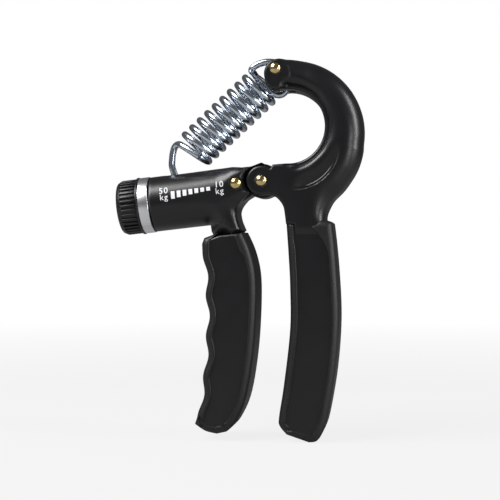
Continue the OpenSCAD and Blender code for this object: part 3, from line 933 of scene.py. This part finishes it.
words = [word("50", 7.4, 4.75, 3.7), word("kg", 7.4, 1.85, 3.6),
         word("10", 32.3, 4.6, 3.7), word("kg", 32.3, 1.65, 3.6)]
printed = join(bars, *words)
sheet = bmesh.new()
sheet.from_mesh(printed)
CELL = 0.4                                               # small cells bend well
for axis, low_end, high_end in ((0, 4, 36), (1, -1, 8)):
    for cut_at in np.arange(low_end, high_end, CELL):
        spot, facing = Vector((0, 0, 0)), Vector((0, 0, 0))
        spot[axis], facing[axis] = cut_at, 1
        everything = sheet.verts[:] + sheet.edges[:] + sheet.faces[:]
        bmesh.ops.bisect_plane(sheet, geom=everything, plane_co=spot, plane_no=facing)
bmesh.ops.triangulate(sheet, faces=sheet.faces)
for v in sheet.verts:
    v.co = ALONG @ Vector((v.co.y, 0, v.co.x))
spots = np.array([(v.co.x, v.co.z) for v in sheet.verts])
for v, tall in zip(sheet.verts, lever_height(spots, away(spots, LEVER))):
    v.co.y = -tall - PRINT_LIFT
sheet.to_mesh(printed)
sheet.free()
scale = piece("scale_print", printed, scale_ink, "lever", ["scale_bars"], weld=0.0)
scale_facing = sum(p.normal.y * p.area for p in scale.data.polygons)
if scale_facing > 0:
    scale.data.flip_normals()

# %% [markdown]
# ## The spring
# One wire: a loop over the arm's pin, nine and a half turns, and a hook through the barrel's slot
# to the slider's pin. The path is a formula, swept by the `sweep` tree. The coil is cut into short
# pieces, and for each one a start and an end along the coil are worked out. The pieces are given
# to no body and stay where they are made.

# %% Spring path
WIRE_R, COIL_R, PITCH = 1.5, 8.1, 4.45
COIL_TOP, COIL_DIR = Vector((0, 0, 43)), math.radians(42.5)
FAN_START, FAN = -3, 1.15                                # in degrees, and degrees a turn
DOWN = Vector((-math.cos(COIL_DIR), 0, -math.sin(COIL_DIR)))


def coil(t):
    """A point t turns down the coil. The turns fan out a little on the way down."""
    a, lean = 2 * math.pi * t, COIL_DIR + math.radians(FAN_START + (t - 0.75) * FAN)
    side = Vector((-math.sin(lean), 0, math.cos(lean)))
    return COIL_TOP + PITCH * t * DOWN + COIL_R * (math.cos(a) * side + math.sin(a) * Vector((0, 1, 0)))


PARTS, STEPS, BEND = 9, 40, 10
FIRST_TURN, LAST_TURN = 0.07, 9.65
PIN_TO_WIRE = 2.75
pin_at = Vector((*barrel_point(SLIDE_AT, PIN_UP), 0)).xzy
LOOP = [(-3.4, -1.4, 46.4), (-0.6, -0.6, 44.4), (3.4, -0.4, 40.0), (5.0, -0.2, 38.8), (6.9, 0, 38.4),
        (8.7, 0, 39.1), (10.2, 0, 41.0), (11.0, 0, 44.5), (10.6, 0, 48.5), (9.2, 0, 51.1), (6.6, 0, 52.4),
        (3.4, 0, 53.1), (0.6, 0, 53.1), (-2.6, 0, 52.2), (-4.8, 0.1, 50.9), (-5.7, 1.0, 49.6)]
HOOK = [(-35.0, -4.7, 15.4), (-38.2, -1.7, 16.9), (-40.2, -0.2, 15.9), (-41.1, 0, 13.4), (-41.5, 0, 10.4),
        (-41.6, 0, 7.6), (-41.0, 0, 5.2), (-40.35, 0, 3.2), (-40.3, 0, 1.0)]
around_pin = [pin_at + PIN_TO_WIRE * Vector((math.cos(a), 0, math.sin(a)))
              for a in np.radians([184, 215, 250, 285, 320])]
# One point beyond the seam on each side keeps the wire smooth there, and is dropped again
top_loop = curve(LOOP + [coil(FIRST_TURN), coil(FIRST_TURN + 0.05)], BEND)[:-BEND]
turns = [coil(FIRST_TURN + (LAST_TURN - FIRST_TURN) * k / (STEPS * PARTS))
         for k in range(STEPS * PARTS + 1)]
hook = curve([coil(LAST_TURN - 0.04), coil(LAST_TURN)] + HOOK + around_pin, BEND)[BEND:]
piece("spring_loop", swept(top_loop, WIRE_R, zinc_wire, 20), zinc_wire, "spring_top",
      sharp=60)
piece("spring_lower_hook", swept(hook, WIRE_R, zinc_wire, 20), zinc_wire, "spring_bottom", ["spring_hook"],
      sharp=60)

# %% Spring pieces
def easing_time(share):
    """The time at which the smooth 0 to 1 step reaches a share."""
    low, high = 0.0, 1.0
    for _ in range(50):
        mid = (low + high) / 2
        low, high = (mid, high) if mid * mid * (3 - 2 * mid) < share else (low, mid)
    return (low + high) / 2


top_reach, whole = COIL_TOP.dot(DOWN) + PITCH * FIRST_TURN, PITCH * (LAST_TURN - FIRST_TURN)
for k in range(PARTS):
    first, last = k * len(turns) // PARTS, min((k + 1) * len(turns) // PARTS + 1, len(turns))
    part = piece(f"spring_turn_{k + 1}", swept(turns[first:last], WIRE_R, zinc_wire, 20), zinc_wire, None,
                 ["spring_coil"] if k == 0 else [], sharp=60)
    w0, w1 = k / PARTS, (k + 1) / PARTS
    t0, t1 = easing_time(w0), easing_time(w1)
    length = whole * (w1 - w0) / (t1 - t0)
    begin = top_reach + whole * w0 - t0 * length
    origin = COIL_TOP - COIL_TOP.dot(DOWN) * DOWN
    TO_FRAME @ (origin + begin * DOWN)
    TO_FRAME @ (origin + (begin + length) * DOWN)
    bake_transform(part)

# %% [markdown]
# ## Floor and light
# A plain pale floor under a white sky that only the camera sees, so that the black plastic is lit by
# the soft boxes alone and stays black. One large light is at the upper left, a strip on the right
# draws the long highlight on the arm, and a small low one on the right lifts the wire's lower ends.

# %% Stage
def camera_sees_white(tree, share, plain, out):
    """Mix white light into a shader, for camera rays only."""
    white = tree.nodes.new("ShaderNodeEmission")
    white.inputs["Color"].default_value = (1, 1, 1, 1)
    mixer = tree.nodes.new("ShaderNodeMixShader")
    seen = Sock(tree, tree.nodes.new("ShaderNodeLightPath").outputs["Is Camera Ray"]) * share
    tree.links.new(seen.socket, mixer.inputs[0])
    tree.links.new(plain, mixer.inputs[1])
    tree.links.new(white.outputs[0], mixer.inputs[2])
    tree.links.new(mixer.outputs[0], out.inputs["Surface"])


def pale_floor():
    half = 4.0
    corners = [(-half, -half, 0), (half, -half, 0), (half, half, 0), (-half, half, 0)]
    mesh = bpy.data.meshes.new("floor")
    mesh.from_pydata(corners, [], [(0, 1, 2, 3)])
    obj = bpy.data.objects.new("floor", mesh)
    bpy.context.scene.collection.objects.link(obj)
    material, shader, place = finish_named("pale_floor", (0.34, 0.34, 0.34), roughness=0.7)
    far = place.node("ShaderNodeVectorMath", out=1, settings={"operation": "LENGTH"}, i0=place)
    far = far.node("ShaderNodeMapRange", i0=far, i1=0.25, i2=0.9, i3=0.84, i4=1.0)
    camera_sees_white(place.tree, far, shader.outputs[0], place.tree.nodes["Material Output"])
    mesh.materials.append(material)
    obj.location.z = cad_low.z


def soft_light(name, place, size, power, colour=(1, 1, 1)):
    data = bpy.data.lights.new(name, "AREA")
    data.shape, data.size, data.size_y = "RECTANGLE", *size
    data.energy, data.color = power, colour
    obj = bpy.data.objects.new(name, data)
    bpy.context.scene.collection.objects.link(obj)
    obj.location = aim + Vector(place)
    obj.rotation_euler = Vector(place).to_track_quat("Z", "Y").to_euler()


pale_floor()
soft_light("top_left", (-0.55, -0.40, 0.72), (0.60, 0.60), 13)
soft_light("right_strip", (0.80, -0.18, 0.30), (0.16, 0.7), 5)
soft_light("right_low", (0.55, -0.50, -0.03), (0.10, 0.3), 1.0)
world = bpy.data.worlds.new("world")
bpy.context.scene.world = world
world.use_nodes = True
sky = world.node_tree.nodes["Background"]
sky.inputs["Color"].default_value = (0.93, 0.95, 1.0, 1)
sky.inputs["Strength"].default_value = 0.11
camera_sees_white(world.node_tree, 1.0, sky.outputs[0], world.node_tree.nodes["World Output"])
bpy.context.scene.view_settings.view_transform = "Standard"
